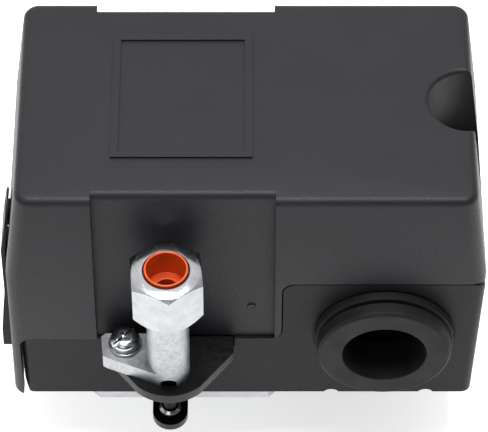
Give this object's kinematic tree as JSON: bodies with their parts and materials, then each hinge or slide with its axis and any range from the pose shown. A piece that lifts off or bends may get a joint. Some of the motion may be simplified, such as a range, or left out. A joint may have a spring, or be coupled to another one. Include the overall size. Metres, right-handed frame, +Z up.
{
  "type": "pressure switch",
  "caption": "Air compressor pressure switch: black two-part housing, threaded inlet below, unloader valve with tube nut in front, cable entries, adjusting springs inside.",
  "frame": {"origin": "centre of the inlet port's mouth, on the underside of the hexagon", "axes": "+Z up out of the port into the body, -Y towards the front with the unloader valve, +X towards the contact chamber"},
  "size_m": [0.1109, 0.0863, 0.0918],
  "materials": {
    "black_moulding": "spark-eroded glass-filled nylon",
    "grommet_rubber": "moulded rubber",
    "zinc_plated_steel": "zinc plated",
    "plated_screws": "bright plated",
    "die_casting": "as cast, tumbled",
    "nickel_nut": "satin nickel plated",
    "black_steel": "satin black coated",
    "spring_wire": "drawn wire",
    "orange_plastic": "moulded",
    "brown_phenolic": "moulded phenolic",
    "brass": "stamped and turned",
    "copper": "stamped",
    "white_plastic": "moulded",
    "green_screws": "green passivated"
  },
  "bodies": {
    "switch": {"base": "black_moulding", "mount_plate": "zinc_plated_steel", "inlet_flange": "die_casting", "flange_screws": "plated_screws", "diaphragm": "grommet_rubber", "frame": "zinc_plated_steel", "lever_pin": "zinc_plated_steel", "range_stud": "zinc_plated_steel", "range_spring": "spring_wire", "diff_stud": "zinc_plated_steel", "diff_spring": "spring_wire", "unloader_bracket": "black_steel", "bracket_screws": "plated_screws", "valve_body": "die_casting", "valve_screw": "plated_screws", "valve_washer": "plated_screws", "valve_spring": "spring_wire", "tube_sleeve": "orange_plastic", "tube_nut": "nickel_nut", "grommet_front": "grommet_rubber", "grommet_back": "grommet_rubber", "contact_block": "brown_phenolic", "block_screws": "plated_screws", "terminal_plates": "brass", "terminal_screws": "brass", "clamp_washers": "zinc_plated_steel", "ground_screws": "green_screws"},
    "cover": {"cover": "black_moulding", "cover_screw": "plated_screws", "lever_clip": "zinc_plated_steel"},
    "on_off_lever": {"on_off_lever": "black_moulding"},
    "pressure_lever": {"pressure_lever": "black_steel", "trip_screw": "plated_screws"},
    "piston": {"piston": "white_plastic"},
    "valve_pin": {"valve_pin": "black_steel"},
    "contact_carrier": {"contact_carrier": "white_plastic", "contact_bridges": "copper", "bridge_springs": "spring_wire"},
    "range_cap": {"range_cap": "zinc_plated_steel"},
    "range_nut": {"range_nut": "zinc_plated_steel"},
    "diff_cap": {"diff_cap": "zinc_plated_steel"},
    "diff_nut": {"diff_nut": "zinc_plated_steel"}
  },
  "joints": [
    {"name": "cover_lift", "type": "slide", "parent": "switch", "child": "cover", "axis": [0, 0, 1], "range_m": [0, 0.08]},
    {"name": "on_off_turn", "type": "hinge", "parent": "cover", "child": "on_off_lever", "pos_m": [-0.04, -0.0165, 0.072], "axis": [1, 0, 0], "range_deg": [0, 35]},
    {"name": "pressure_lever_tilt", "type": "hinge", "parent": "switch", "child": "pressure_lever", "pos_m": [0, 0.022, 0.031], "axis": [-1, 0, 0], "range_deg": [0, 2], "stiffness_Nm_per_rad": 2, "springref_deg": -11.46},
    {"name": "piston_travel", "type": "slide", "parent": "switch", "child": "piston", "axis": [0, 0, 1], "range_m": [0, 0.0009]},
    {"name": "valve_pin_travel", "type": "slide", "parent": "switch", "child": "valve_pin", "axis": [0, 0, 1], "range_m": [0, 0.0023], "deforming": ["valve_spring"]},
    {"name": "contact_travel", "type": "slide", "parent": "switch", "child": "contact_carrier", "axis": [0, 0, 1], "range_m": [0, 0.0015]},
    {"name": "range_nut_turn", "type": "hinge", "parent": "range_cap", "child": "range_nut", "pos_m": [0, -0.011, 0.068], "axis": [0, 0, 1], "range_deg": [-1084, 1084]},
    {"name": "range_cap_travel", "type": "slide", "parent": "switch", "child": "range_cap", "axis": [0, 0, 1], "range_m": [-0.00375, 0.00375], "deforming": ["range_spring"]},
    {"name": "diff_nut_turn", "type": "hinge", "parent": "diff_cap", "child": "diff_nut", "pos_m": [0, 0.012, 0.054], "axis": [0, 0, 1], "range_deg": [-1084, 1084]},
    {"name": "diff_cap_travel", "type": "slide", "parent": "switch", "child": "diff_cap", "axis": [0, 0, 1], "range_m": [-0.0024, 0.0024], "deforming": ["diff_spring"]}
  ],
  "couplings": [
    {"joint": "piston_travel", "follows": "pressure_lever_tilt", "m_per_rad": 0.0178},
    {"joint": "valve_pin_travel", "follows": "pressure_lever_tilt", "m_per_rad": 0.0619},
    {"joint": "contact_travel", "follows": "pressure_lever_tilt", "m_per_rad": 0.0395},
    {"joint": "range_nut_turn", "follows": "range_cap_travel", "rad_per_m": 5026.5},
    {"joint": "diff_nut_turn", "follows": "diff_cap_travel", "rad_per_m": 7854}
  ]
}
